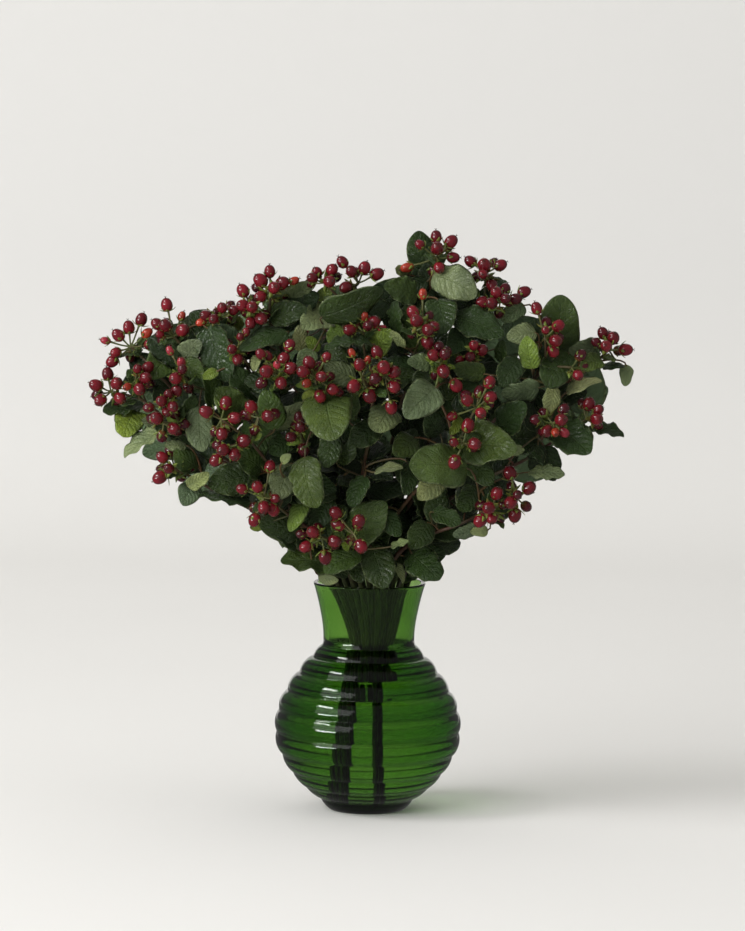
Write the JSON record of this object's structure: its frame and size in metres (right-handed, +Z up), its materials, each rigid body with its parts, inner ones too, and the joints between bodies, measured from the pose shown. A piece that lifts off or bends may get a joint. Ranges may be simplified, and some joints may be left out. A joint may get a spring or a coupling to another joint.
{
  "type": "berry stems in a vase",
  "caption": "Cut hypericum stems with broad dark leaves and glossy red berries, standing in water in a narrow-necked ringed green glass vase.",
  "frame": {"origin": "centre of the vase's flat underside", "axes": "+Z up along the vase's axis, -Y toward the viewer, +X to the viewer's right"},
  "size_m": [0.4676, 0.2784, 0.5106],
  "materials": {
    "glass": "clear mid-green glass, polished, with slightly uneven rings",
    "water": "still clear water",
    "leafy_stem": "red-brown bark on the stems, semi-gloss dark green leaves with paler veins and undersides",
    "berry": "glossy dark red berries with green sepals and red-brown stalks"
  },
  "bodies": {
    "root": {"vase": "glass", "water": "water", "leafy_stem_01": "leafy_stem", "leafy_stem_02": "leafy_stem", "leafy_stem_03": "leafy_stem", "leafy_stem_04": "leafy_stem", "leafy_stem_05": "leafy_stem", "leafy_stem_06": "leafy_stem", "leafy_stem_07": "leafy_stem", "leafy_stem_08": "leafy_stem", "leafy_stem_09": "leafy_stem", "leafy_stem_10": "leafy_stem", "leafy_stem_11": "leafy_stem", "leafy_stem_12": "leafy_stem", "leafy_stem_13": "leafy_stem", "leafy_stem_14": "leafy_stem", "leafy_stem_15": "leafy_stem", "leafy_stem_16": "leafy_stem", "leafy_stem_17": "leafy_stem", "leafy_stem_18": "leafy_stem", "leafy_stem_19": "leafy_stem", "leafy_stem_20": "leafy_stem", "leafy_stem_21": "leafy_stem", "leafy_stem_22": "leafy_stem", "berry_cluster_01": "berry", "berry_cluster_02": "berry", "berry_cluster_03": "berry", "berry_cluster_04": "berry", "berry_cluster_05": "berry", "berry_cluster_06": "berry", "berry_cluster_07": "berry", "berry_cluster_08": "berry", "berry_cluster_09": "berry", "berry_cluster_10": "berry", "berry_cluster_11": "berry", "berry_cluster_12": "berry", "berry_cluster_13": "berry", "berry_cluster_14": "berry", "berry_cluster_15": "berry", "berry_cluster_16": "berry", "berry_cluster_17": "berry", "berry_cluster_18": "berry", "berry_cluster_19": "berry", "berry_cluster_20": "berry", "berry_cluster_21": "berry", "berry_cluster_22": "berry", "berry_cluster_23": "berry", "berry_cluster_24": "berry", "berry_cluster_25": "berry", "berry_cluster_26": "berry", "berry_cluster_27": "berry", "berry_cluster_28": "berry", "berry_cluster_29": "berry", "berry_cluster_30": "berry", "berry_cluster_31": "berry", "berry_cluster_32": "berry", "berry_cluster_33": "berry", "berry_cluster_34": "berry", "berry_cluster_35": "berry", "berry_cluster_36": "berry"}
  },
  "joints": []
}
